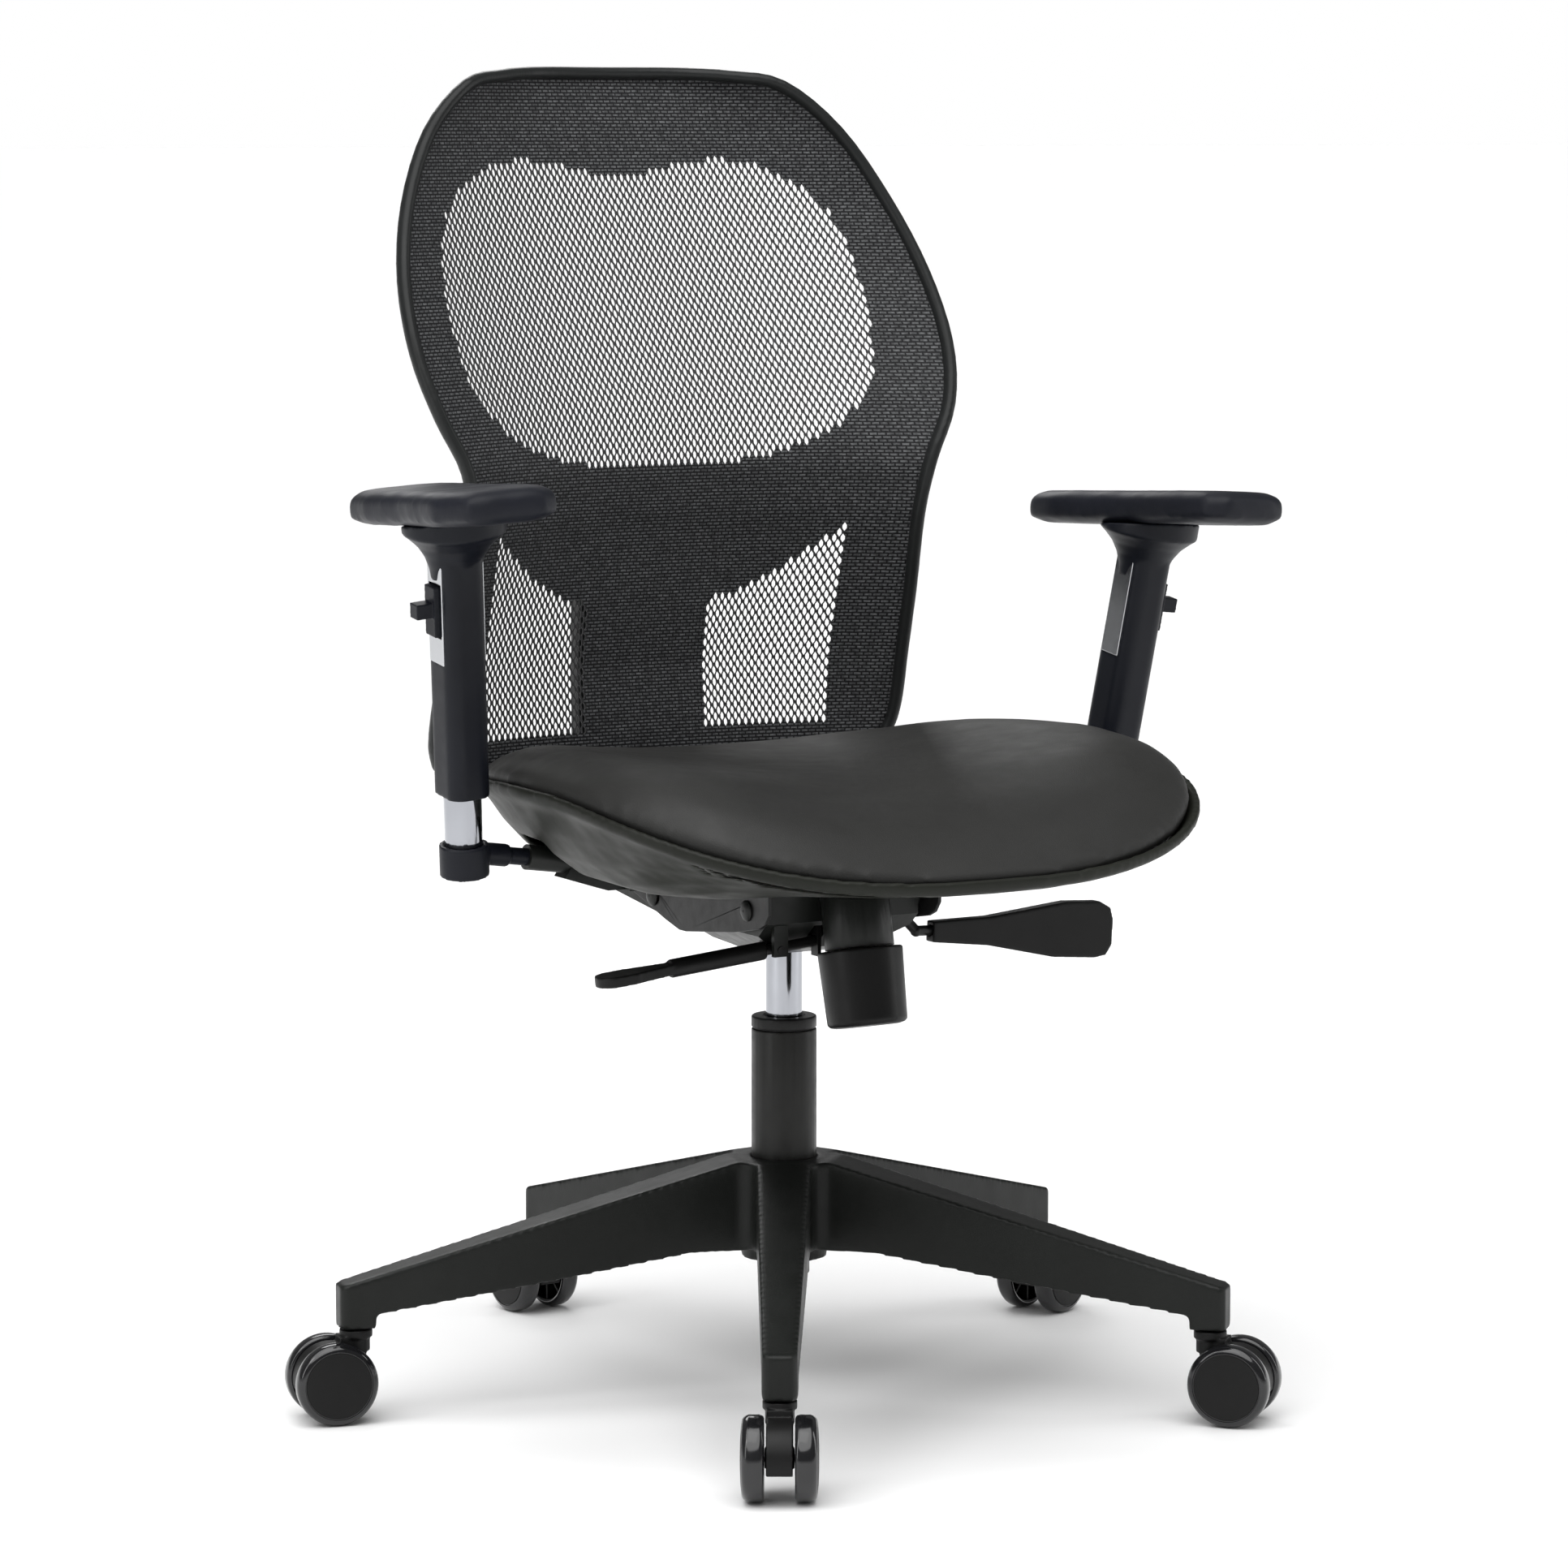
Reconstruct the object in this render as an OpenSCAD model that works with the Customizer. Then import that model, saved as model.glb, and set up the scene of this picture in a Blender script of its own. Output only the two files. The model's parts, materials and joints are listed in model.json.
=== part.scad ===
// Swivel office chair with a mesh back, height adjustable arms and a five-leg base.
// Millimetres, +Z up, origin on the floor under the swivel axis, the sitter faces -Y.

/* [Base] */
// Distance from the swivel axis to each caster stem
stem_reach = 337; // [300:1:360]
// Direction of the first leg, counted from +X
base_turn = 239.5; // [230:0.5:250]
// Height of the top of the hub
hub_top = 182; // [170:1:190]
// Height of the underside of each leg tip
tip_z = 70; // [69:0.5:72]
// Width of a leg at its tip
leg_tip_w = 25.5; // [22:0.5:30]
// Width of a leg where it meets the hub
leg_root_w = 41; // [36:1:46]

/* [Casters] */
// Radius of a caster wheel
wheel_r = 31; // [28:0.5:32]
// Width of one caster wheel
wheel_w = 17; // [14:0.5:18]
// Distance from the stem axis back to the axle
trail = 19; // [15:0.5:22]

/* [Column] */
// Radius of the fixed outer tube
column_r = 25; // [23:0.5:26]
// Height of the top of the guide ring
column_top = 290.5; // [280:0.5:300]
// Radius of the chrome gas cylinder
gas_r = 14; // [13.5:0.25:14.5]

/* [Seat] */
// Half of the widest seat width
seat_half_w = 252; // [240:1:260]
// How far the seat reaches in front of the swivel axis
seat_front = 303; // [285:1:310]
// How far the seat reaches behind the swivel axis
seat_rear = 185; // [170:1:190]
// Height of the shell's lip at the middle of the front edge
lip_front_z = 432; // [428:1:440]
// Height of the cushion's top at its middle
seat_top = 487; // [480:1:495]

/* [Back] */
// Height of the top edge of the back
back_top = 1006; // [1000:1:1020]
// Radius of the round rim of the back frame
rim_r = 5.2; // [4.5:0.1:6]
// Thickness of the woven mesh
mesh_t = 1.6; // [1.2:0.1:2]

/* [Arms] */
// Distance from the chair's middle plane to the arm post at the clamp
arm_x = 278; // [270:1:285]
// Width of an arm pad
pad_w = 88; // [80:1:95]
// Length of an arm pad
pad_l = 240; // [220:1:255]
// Thickness of an arm pad
pad_t = 27; // [20:1:28]
// How far the arm rest at -X is set above the middle setting
left_lift = 12; // [-20:1:38]
// How far the arm rest at +X is set above the middle setting
right_lift = -12; // [-20:1:38]

/* [Hidden] */
fit = 0.05;          // running clearance on a radius
eps = 0.01;
fine = 96;
mid = 48;
plastic = [0.10, 0.10, 0.11];
metal = [0.55, 0.56, 0.58];
chrome = [0.80, 0.81, 0.83];
fabric = [0.22, 0.22, 0.22];

// ---- base ----
leg_count = 5;
leg_end = stem_reach + 13.5;
leg_slope = 0.256;               // fall of a leg's top face per millimetre of reach
leg_root_z = 192.5;              // where that top face would meet the axis
hub_r = 33;
hub_low = 104;
stem_r = 5.5;
stem_top = 96;
tube_low = 86;
fillet_r = 14;                   // inside corners between the legs

// ---- casters ----
axle_r = 3;
hub_gap = 11;                    // half of the space between two wheels
hood_top = 68.5;
fender_r = 28;

// ---- column and gas cylinder ----
ring_h = 10;                     // height of the guide ring's visible head
gas_low = 150;
mech_low = 342;                  // underside of the mechanism
gas_top = 372;
rod_r = 5;
rod_top = 240;
valve_r = 3;
valve_top = 378.7;

// ---- mechanism ----
front_pivot = [-75, 385];        // y, z of the seat plate's pivot
main_pivot = [10, 373];          // y, z of the back carrier's pivot
link_pivot = [71, 379];          // y, z of the pin that carries the seat plate's rear
pin_r = 5;
wall_in = 62;                    // inner faces of the housing's walls
wall_out = 66;
flange_in = 72;
flange_out = 75;
plate_low = 399.5;
plate_high = 403.5;
knob_at = [-113, 356];           // y, z where the tension knob starts
knob_lean = 12;
knob_len = 58;
knob_r = 32;
lever_y = -75;                   // the height lever's rod
lever_z = 355;
lever_pivot_x = -52;
lever_drop = 5.5;                // fall of the height lever's handle, in degrees
tilt_y = -60;
tilt_z = 370;

// ---- seat ----
seat_mid = -105;                 // y where the seat is widest
seat_round = 2.55;               // squareness of the seat's outline
seat_steps = 64;
shell_low = 404;
lip_w = 6;                       // width of the lip around the cushion
board_t = 9;
board_low = shell_low + 9.2;
bowl_flat = 0.3;                 // share of the bowl's reach that is flat
bowl_steps = [0.97, 0.93, 0.87, 0.78];

// ---- arms ----
post_foot = [arm_x, -12, 430];   // centre of the clamp
post_head = [302, -48, 668];     // centre of the pad's underside
post_vec = post_head - post_foot;
post_len = norm(post_vec);
post_out = atan2(post_vec[0], post_vec[2]);
post_fwd = atan2(-post_vec[1], norm([post_vec[0], post_vec[2]]));
sleeve_x = 33;
sleeve_y = 40;
sleeve_start = 38;               // along the post from the clamp's centre
arm_tube_r = 14;
arm_tube_end = 172;
slot_mid = 180;                  // along the post, middle of the button
rod_lean = 8;                    // slope of the width adjustment
rod_arm_r = 6.5;
strip_l = 88;
rod_y = -10;
pad_pitch = 3;
pad_roll = 4;
pad_toe = 5.5;                   // the front ends of the pads turn outwards

// ================= shared shapes =================

// A flat rounded rectangle, centred, with corners of radius r.
module rounded_rect(w, h, r) {
    square([w - 2 * r, h], center = true);
    square([w, h - 2 * r], center = true);
    for (x = [-1, 1], y = [-1, 1])
        translate([x * (w / 2 - r), y * (h / 2 - r)]) circle(r, $fn = mid);
}

// A bar along +X between x0 and x1, with the outline given in y and z.
module along_x(x0, x1) {
    translate([x0, 0, 0]) rotate([90, 0, 90]) linear_extrude(x1 - x0) children();
}

// A round bar between two points.
module bar(a, b, r) {
    d = b - a;
    translate(a) rotate([0, atan2(norm([d[0], d[1]]), d[2]), atan2(d[1], d[0])])
        cylinder(r = r, h = norm(d), $fn = mid);
}

// Both sides of the chair: the shape and its mirror image.
module both_sides() {
    children();
    mirror([1, 0, 0]) children();
}

// ================= base =================

// One leg lies along +X.
module leg_side() {
    polygon([[0, 113], [0, leg_root_z - leg_slope * 42], [42, leg_root_z - leg_slope * 42],
        [leg_end, leg_root_z - leg_slope * leg_end], [leg_end, tip_z], [leg_end - 27, tip_z],
        [leg_end - 27, 80], [178, 99], [80, 113]]);
}

module leg_plan(inset = 0) {
    r = 4;
    tip = leg_tip_w / 2 - inset;
    root = leg_root_w / 2 - inset;
    polygon([[0, -root], [45, -root], [leg_end - r - inset, -tip], [leg_end - inset, r - tip],
        [leg_end - inset, tip - r], [leg_end - r - inset, tip], [45, root], [0, root]]);
}

module leg() {
    intersection() {
        rotate([90, 0, 0]) translate([0, 0, -leg_root_w]) linear_extrude(2 * leg_root_w)
            leg_side();
        translate([0, 0, 40]) linear_extrude(180) leg_plan();
    }
}

// The hollow underside of a leg, in pockets with thin walls left between them.
module leg_hollow() {
    wall = 3.5;
    rib = 2.4;
    pockets = 5;
    x0 = 55;
    pitch = (stem_reach - 18 - x0) / pockets;
    translate([0, 0, 40]) intersection() {
        linear_extrude(180) leg_plan(wall);
        for (i = [0:pockets - 1]) let (a = x0 + i * pitch, b = a + pitch - rib)
            rotate([90, 0, 0]) translate([0, 0, -leg_root_w]) linear_extrude(2 * leg_root_w)
                polygon([[a, 10], [a, leg_root_z - 40 - leg_slope * a - wall],
                    [b, leg_root_z - 40 - leg_slope * b - wall], [b, 10]]);
    }
}

// The deck that fills the inside corners between the legs with round hollows.
module deck() {
    reach = (leg_root_w / 2 + fillet_r) / sin(180 / leg_count);
    function face(x) = leg_root_z - 0.6 - leg_slope * x;
    intersection() {
        rotate_extrude($fn = fine) polygon([[0, hub_low + 10.5], [52, hub_low + 10.5],
            [52, face(52)], [42.4, face(42.4)], [0, face(42.4)]]);
        translate([0, 0, hub_low]) linear_extrude(100) difference() {
            circle(51.5, $fn = fine);
            for (i = [0:leg_count - 1]) rotate(base_turn + 72 * i + 36)
                translate([reach, 0]) circle(fillet_r + 0.6, $fn = mid);
        }
    }
}

module base_star() {
    color(plastic) difference() {
        union() {
            translate([0, 0, hub_low]) cylinder(r = hub_r, h = hub_top - hub_low, $fn = fine);
            for (i = [0:leg_count - 1]) rotate(base_turn + 72 * i) difference() {
                leg();
                leg_hollow();
            }
            deck();
        }
        translate([0, 0, hub_low - 60]) cylinder(r = column_r, h = 200, $fn = fine);
        for (i = [0:leg_count - 1]) rotate(base_turn + 72 * i)
            translate([stem_reach, 0, tip_z - 1])
                cylinder(r = stem_r + fit, h = stem_top - tip_z + 1.5, $fn = mid);
    }
}

module column_tube() {
    top = column_top - ring_h;
    color(plastic) rotate_extrude($fn = fine) polygon([[rod_r, tube_low + 4],
        [rod_r, tube_low + 7], [15, tube_low + 7], [15.5, tube_low + 12], [15.5, hub_low + 8],
        [22, hub_low + 16], [22, top], [column_r - 0.8, top], [column_r, top - 0.8],
        [column_r, hub_low + 2], [19.5, hub_low - 1], [19.5, tube_low + 5],
        [18.5, tube_low + 4]]);
}

module column_bushing() {
    top = column_top - ring_h;
    color(plastic) rotate_extrude($fn = fine) polygon([[gas_r + fit, 200], [22, 200], [22, top],
        [23.6, top], [23.6, top + 1.4], [column_r, top + 1.4], [column_r, column_top - 1],
        [column_r - 1, column_top], [gas_r + 2.5, column_top], [gas_r + fit, column_top - 1.5]]);
}

module piston_rod() {
    color(metal) {
        translate([0, 0, tube_low]) cylinder(r = rod_r, h = rod_top - tube_low, $fn = mid);
        translate([0, 0, tube_low + 1]) cylinder(r = 9, h = 3, $fn = mid);
    }
}

module gas_cylinder() {
    color(chrome) rotate_extrude($fn = fine) polygon([[rod_r + fit, gas_low], [gas_r - 1, gas_low],
        [gas_r, gas_low + 1], [gas_r, mech_low + 4], [gas_r - 1, gas_top - 1],
        [gas_r - 2, gas_top], [valve_r + fit, gas_top], [valve_r + fit, gas_top - 32],
        [0, gas_top - 32], [0, gas_top - 72], [rod_r + fit, gas_top - 72]]);
}

module valve_button() {
    color(metal) {
        translate([0, 0, gas_top - 26])
            cylinder(r = valve_r, h = valve_top - gas_top + 26, $fn = mid);
    }
}

// ================= casters =================

// One caster stands in its own place: stem over the origin, axle behind it along +X.
module at_caster(i) {
    rotate(base_turn + 72 * (i - 1)) translate([stem_reach, 0, 0]) children();
}

module caster_hood() {
    color(plastic) difference() {
        union() {
            translate([0, 0, 52]) cylinder(r = 10.5, h = hood_top - 52, $fn = mid);
            translate([0, 0, hood_top - 6]) cylinder(r = 12.4, h = 6, $fn = mid);
            translate([0, 0, hood_top]) cylinder(r = 8.5, h = 1, $fn = mid);
            intersection() {
                translate([trail, 9.5, wheel_r]) rotate([90, 0, 0])
                    cylinder(r = fender_r, h = 19, $fn = fine);
                translate([-14, -20, 24]) cube([80, 40, 50]);
            }
            translate([-6, -9.5, 40]) cube([20, 19, 24]);
            translate([trail, hub_gap - 0.3, wheel_r]) rotate([90, 0, 0])
                cylinder(r = 7.5, h = 2 * hub_gap - 0.6, $fn = mid);
        }
        translate([0, 0, 50]) cylinder(r = stem_r, h = 30, $fn = mid);
        translate([trail, 20, wheel_r]) rotate([90, 0, 0]) cylinder(r = axle_r, h = 40, $fn = mid);
    }
}

module caster_pins() {
    reach = hub_gap + 11.5;
    color(metal) {
        translate([0, 0, 50]) cylinder(r = stem_r, h = stem_top - 50, $fn = mid);
        translate([trail, reach, wheel_r]) rotate([90, 0, 0])
            cylinder(r = axle_r, h = 2 * reach, $fn = mid);
    }
}

// A wheel on the +Y side. Its inner face is hollow, with spokes.
module wheel() {
    in = hub_gap;
    out = hub_gap + wheel_w;
    bore = axle_r + fit;
    color(plastic) translate([trail, 0, wheel_r]) rotate([-90, 0, 0]) {
        rotate_extrude($fn = fine) polygon([[bore, in], [7.5, in], [7.5, out - 4.5],
            [wheel_r - 5.5, out - 4.5], [wheel_r - 5.5, in + 0.8], [wheel_r - 3.5, in],
            [wheel_r - 1.5, in + 0.6], [wheel_r, in + 3], [wheel_r, out - 4.5],
            [wheel_r - 3.8, out - 1], [wheel_r - 5, out - 1.2], [14, out - 0.3], [0, out],
            [0, out - 5], [bore, out - 5]]);
        for (a = [0:45:315]) rotate(a) translate([7, -0.9, out - 14])
            cube([wheel_r - 12, 1.8, 10]);
    }
}

module wheel_right() { mirror([0, 1, 0]) wheel(); }

// ================= mechanism =================

module pin_hole(at, r, x0 = -90, x1 = 90) {
    along_x(x0, x1) translate(at) circle(r, $fn = mid);
}

// The outline of the housing seen from the front and from the side, drawn in by t.
module housing_section(t) {
    polygon([[-18.5 + 0.6 * t, mech_low - 5 + t], [18.5 - 0.6 * t, mech_low - 5 + t],
        [wall_out - t, 365 + 0.4 * t], [wall_out - t, 430], [-wall_out + t, 430],
        [-wall_out + t, 365 + 0.4 * t]]);
}

module housing_side(t) {
    up = t > 0 ? 20 : 0;
    polygon([[48 - t, 347 + t], [20, mech_low + t], [-24, mech_low + t], [-60, 351 + t],
        [-88 + t, 375 + t], [-88 + t, 396 + up], [-60, 396 + up], [48 - t, 383 + up]]);
}

module housing_block(t) {
    intersection() {
        translate([0, 60, 0]) rotate([90, 0, 0]) linear_extrude(160) housing_section(t);
        along_x(-80, 80) housing_side(t);
    }
}

module knob_frame() {
    translate([0, knob_at[0], knob_at[1]]) rotate([180 - knob_lean, 0, 0]) children();
}

module mech_housing() {
    color(plastic) difference() {
        union() {
            difference() {
                housing_block(0);
                housing_block(wall_out - wall_in);
            }
            translate([0, 0, mech_low]) cylinder(r = 22, h = gas_top - 2 - mech_low, $fn = mid);
            intersection() {
                knob_frame() translate([0, 0, -60]) cylinder(r = 26, h = 59.4, $fn = fine);
                translate([-40, -160, 330]) cube([80, 80, 66]);
            }
            for (s = [-1, 1]) translate([s * 56 - 6, 0, 0]) {
                along_x(0, 12) translate(main_pivot) circle(9.5, $fn = mid);
                along_x(0, 12) translate(front_pivot) circle(9.5, $fn = mid);
            }
            translate([lever_pivot_x - 6, lever_y + 7, lever_z - 5]) cube([12, 4, 16]);
            translate([lever_pivot_x - 6, lever_y - 11, lever_z - 5]) cube([12, 4, 34]);
        }
        translate([0, 0, mech_low - 1]) cylinder(r = gas_r + fit, h = 60, $fn = fine);
        pin_hole(front_pivot, pin_r, 49, 90);
        pin_hole(front_pivot, pin_r, -90, -49);
        pin_hole(main_pivot, pin_r, 49, 90);
        pin_hole(main_pivot, pin_r, -90, -49);
        knob_frame() translate([0, 0, -70]) cylinder(r = 5 + fit, h = 90, $fn = mid);
        translate([lever_pivot_x, lever_y + 12.5, lever_z]) rotate([90, 0, 0])
            cylinder(r = 3 + fit, h = 30, $fn = mid);
        translate([-22, lever_y - 8.5, 330]) cube([14, 17.5, 60]);
        translate([40, tilt_y, tilt_z]) rotate([0, 90, 0]) cylinder(r = 4 + fit, h = 40, $fn = mid);
    }
}

// A stub pin that starts at x0 and ends in a domed head outside the flanges.
module stub_pin(at, x0, head_x) {
    translate([0, at[0], at[1]]) rotate([0, 90, 0]) {
        translate([0, 0, x0]) cylinder(r = pin_r, h = head_x - x0, $fn = mid);
        translate([0, 0, head_x]) rotate_extrude($fn = mid)
            polygon([[0, 0], [8, 0], [8, 0.8], [6.6, 2], [4, 2.9], [0, 3.2]]);
    }
}

module mech_pins() {
    color(metal) both_sides() {
        stub_pin(front_pivot, 50, flange_out + 0.4);
        stub_pin(main_pivot, 50, 71.2 - 2.6);
    }
}

module back_pin() {
    color(metal) both_sides() stub_pin(link_pivot, -eps, flange_out + 0.4);
}

module flange_outline() {
    polygon([[-107, plate_high], [-107, 385], [-101, 377], [-92, 373], [-53, 366], [20, 357.5],
        [30, 357.5], [52, 363], [128, 386], [134, 392], [134, plate_high]]);
}

module seat_plate() {
    slot = 4;
    color(metal) difference() {
        union() {
            translate([-flange_out, -107, plate_low])
                cube([2 * flange_out, 241, plate_high - plate_low]);
            both_sides() along_x(flange_in, flange_out) flange_outline();
        }
        pin_hole(front_pivot, pin_r + fit);
        along_x(-90, 90) translate(link_pivot) {
            square([2 * slot, 2 * pin_r + 1.6], center = true);
            for (s = [-1, 1]) translate([s * slot, 0]) circle(pin_r + 0.8, $fn = mid);
        }
        translate([flange_in - 2, tilt_y - 12, 350]) cube([8, 24, 26.5]);
        translate([0, 0, plate_low - 1]) linear_extrude(10) rounded_rect(84, 70, 8);
        for (x = [-1, 1], y = [-88, 112]) translate([x * 55, y, plate_low - 1])
            cylinder(r = 3, h = 10, $fn = mid);
    }
}

module back_carrier() {
    arm_in = 66.6;
    arm_out = 71.2;
    color(plastic) difference() {
        union() {
            both_sides() along_x(arm_in, arm_out) {
                translate(main_pivot) circle(12, $fn = mid);
                polygon([[8, 361.2], [24, 359.5], [80, 367], [165, 378], [165, 394], [120, 394],
                    [64, 390], [6, 384]]);
            }
            translate([-arm_out, 140, 378]) cube([2 * arm_out, 25, 16]);
        }
        both_sides() pin_hole(main_pivot, pin_r + fit, 60, 68);
        both_sides() pin_hole(main_pivot, 9.4, 68, 90);
        pin_hole(link_pivot, pin_r);
        for (x = [-1, 1]) translate([x * 22, 152, 370]) cylinder(r = 4, h = 40, $fn = mid);
    }
}

module tension_bolt() {
    color(metal) knob_frame() translate([0, 0, -34]) cylinder(r = 5, h = 74, $fn = mid);
}

module tension_knob() {
    color(plastic) knob_frame() difference() {
        rotate_extrude($fn = fine) polygon([[0, 0.2], [knob_r - 1, 0.2], [knob_r, 1.2],
            [knob_r - 2, knob_len - 3], [knob_r - 4, knob_len - 1], [knob_r - 8, knob_len],
            [0, knob_len]]);
        translate([0, 0, -1]) cylinder(r = 5, h = 41, $fn = mid);
    }
}

// ---- levers ----

module lever_frame() {
    translate([lever_pivot_x, lever_y, lever_z]) rotate([0, -lever_drop, 0]) children();
}

module height_lever_rod() {
    arm_t = 3;
    arm_w = 10;
    y0 = lever_y - arm_w / 2;
    color(metal) {
        lever_frame() translate([-60, 0, 0]) rotate([0, 90, 0])
            cylinder(r = 4, h = 98, $fn = mid);
        translate([lever_pivot_x, lever_y + 12, lever_z]) rotate([90, 0, 0])
            cylinder(r = 3, h = 24, $fn = mid);
        translate([-17, y0, lever_z - 8]) cube([arm_t, arm_w, 36]);
        translate([-17, y0, valve_top + 0.3]) cube([23, arm_w, arm_t]);
        translate([-6, y0, valve_top + 0.3]) cube([12, 13 - lever_y, arm_t]);
    }
}

module height_lever_handle() {
    color(plastic) lever_frame() difference() {
        union() {
            translate([-131, 0, -4]) linear_extrude(8) {
                rounded_rect(38, 26, 12);
                polygon([[6, -12.8], [46, -6], [46, 6], [6, 12.8]]);
            }
            translate([-9, 0, 0]) rotate([0, -90, 0]) cylinder(r = 7, h = 80, $fn = mid);
        }
        translate([-60, 0, 0]) rotate([0, 90, 0]) cylinder(r = 4, h = 80, $fn = mid);
    }
}

tilt_path = [[44, tilt_y, tilt_z], [68, tilt_y, tilt_z], [80, tilt_y - 2, tilt_z - 13],
    [122, tilt_y - 4, tilt_z - 14]];

module tilt_lever_rod() {
    color(metal) {
        for (i = [0:2]) bar(tilt_path[i], tilt_path[i + 1], 4);
        for (i = [1:2]) translate(tilt_path[i]) sphere(4.5, $fn = mid);
    }
}

module tilt_lever_handle() {
    color(plastic) difference() {
        translate([92, tilt_y - 3, tilt_z - 14]) rotate([90, 0, 0]) rotate([0, 0, -3.4])
            translate([0, 0, -6]) linear_extrude(12) {
                polygon([[0, -8], [0, 8], [50, 11], [120, 22], [150, 22], [160, 17],
                    [163, 8], [163, -12], [158, -20], [148, -22], [110, -21], [50, -11]]);
            }
        bar(tilt_path[2], tilt_path[3], 4);
    }
}

// ================= seat =================

// Height of the shell's lip: it climbs from the front edge to the thighs, then falls a little.
function lip_z(y) =
    let (s = (y + seat_front) / 300, peak = 0.75, rise = 100 * peak * peak)
    s < peak ? lip_front_z + rise - 100 * pow(peak - s, 2)
        : lip_front_z + rise - 27 * pow(s - peak, 2);

// A point on the seat's outline, k times as far from its middle and e wider all round.
function seat_edge(t, k = 1, e = 0) =
    let (c = cos(t), s = sin(t), q = 2 / seat_round,
         far = s < 0 ? seat_front + seat_mid : seat_rear - seat_mid)
    [k * (seat_half_w + e) * sign(c) * pow(abs(c), q),
     seat_mid + k * (far + e) * sign(s) * pow(abs(s), q)];

// Height of the padded top before it is drawn down to the lip.
function seat_crown(p) =
    let (front = max(0, -190 - p[1]) / 110, rear = max(0, p[1] - 60) / 120)
    seat_top + 30 * pow(abs(p[0]) / 225, 2) - 30 * front * front + 3 * rear;

function cushion_top(t, k) =
    let (p = seat_edge(t, k), z0 = lip_z(seat_edge(t, 1)[1]) + 0.5)
    [p[0], p[1], z0 + (seat_crown(p) - z0) * pow(1 - pow(k, 8), 0.5)];

// Height of the bowl: steep walls at the sides and the rear, a gentle rise to the front.
function bowl_z(t, k, drop) =
    let (z0 = lip_z(seat_edge(t, 1)[1]) - 12, low = shell_low + drop,
         power = 1.2 + 3.8 * pow(1 + min(0, sin(t)), 1.8))
    k <= bowl_flat ? low : low + (z0 - low) * pow((k - bowl_flat) / 0.68, power);

function bowl(t, k, drop, e = 0) =
    let (p = seat_edge(t, k, e)) [p[0], p[1], bowl_z(t, k, drop)];

function rim(t, e, drop) =
    let (p = seat_edge(t, 1, e)) [p[0], p[1], lip_z(seat_edge(t, 1)[1]) + drop];

// A closed skin through equal rings, with a middle point at each end.
module ring_skin(rings, first, last) {
    n = len(rings[0]);
    m = len(rings);
    points = concat([first], [for (r = rings, p = r) p], [last]);
    polyhedron(points, concat(
        [for (i = [0:n - 1]) [0, 1 + (i + 1) % n, 1 + i]],
        [for (j = [0:m - 2], i = [0:n - 1], h = [0, 1])
            let (a = 1 + j * n + i, b = 1 + j * n + (i + 1) % n)
            h == 0 ? [a, b, b + n] : [a, b + n, a + n]],
        [for (i = [0:n - 1]) [m * n + 1, 1 + (m - 1) * n + i, 1 + (m - 1) * n + (i + 1) % n]]));
}

angles = [for (i = [0:seat_steps - 1]) 360 * i / seat_steps];

// Room for the arm rods in both side walls, w wider all round.
module rod_notches(w) {
    both_sides() translate([150 - w, rod_y - 26 - w, 380]) cube([120 + 2 * w, 52 + 2 * w, 62 + w]);
}

module seat_cushion() {
    floor_z = board_low + board_t + 0.6;
    color(fabric) difference() {
        ring_skin(concat(
            [for (k = [0.3, 0.6, 0.8, 0.9, 0.96, 0.99, 1]) [for (t = angles) cushion_top(t, k)]],
            [for (k = bowl_steps) [for (t = angles)
                let (b = bowl(t, k, 5.4)) [b[0], b[1], max(b[2] + 1.4, floor_z)]]]),
            [0, seat_mid, seat_top], [0, seat_mid, floor_z]);
        rod_notches(2);
    }
}

module seat_board() {
    color(metal) translate([0, 0, board_low]) linear_extrude(board_t)
        polygon([for (t = angles) seat_edge(t, 0.5 + 0.12 * min(0, sin(t)))]);
}

module seat_shell() {
    inner = [0.3, 0.55, 0.68, 0.78, 0.87, 0.93, 0.97];
    outer = concat(bowl_steps, [0.68, 0.56, 0.3]);
    color(plastic) difference() {
        ring_skin(concat(
            [for (k = inner) [for (t = angles) bowl(t, k, 5)]],
            [[for (t = angles) rim(t, 0.4, -1)], [for (t = angles) rim(t, lip_w - 1, -0.4)],
             [for (t = angles) rim(t, lip_w, -2)], [for (t = angles) rim(t, lip_w - 0.5, -9)]],
            [for (k = outer) [for (t = angles) bowl(t, k, 0, 4 * k)]]),
            [0, seat_mid, shell_low + 5], [0, seat_mid, shell_low]);
        rod_notches(0);
    }
}

module seat_screws() {
    color(metal) for (x = [-1, 1], y = [-88, 112]) translate([x * 55, y, 0]) {
        translate([0, 0, plate_low - 2.5]) cylinder(r = 6, h = 2.5, $fn = mid);
        translate([0, 0, plate_low]) cylinder(r = 3, h = board_low + 4 - plate_low, $fn = mid);
    }
}

// ================= back =================

// Knots of the rim's right half, from the top middle to the bottom middle: x, y, z.
rim_knots = [[0, 288, back_top], [60, 282, back_top], [103, 264, back_top - 2.5],
    [141, 247, 996], [182, 230, 960], [213, 206, 905], [231, 177, 848], [235, 148, 793],
    [225, 128, 746], [205, 122, 703], [199, 131, 660], [203, 150, 600], [205, 166, 548],
    [206, 178, 505], [202, 186, 482], [188, 192, 468], [126, 204, 464], [0, 218, 464]];

function mirrored_x(p) = [-p[0], p[1], p[2]];
rim_loop = concat(rim_knots, [for (i = [len(rim_knots) - 2:-1:1]) mirrored_x(rim_knots[i])]);

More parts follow.
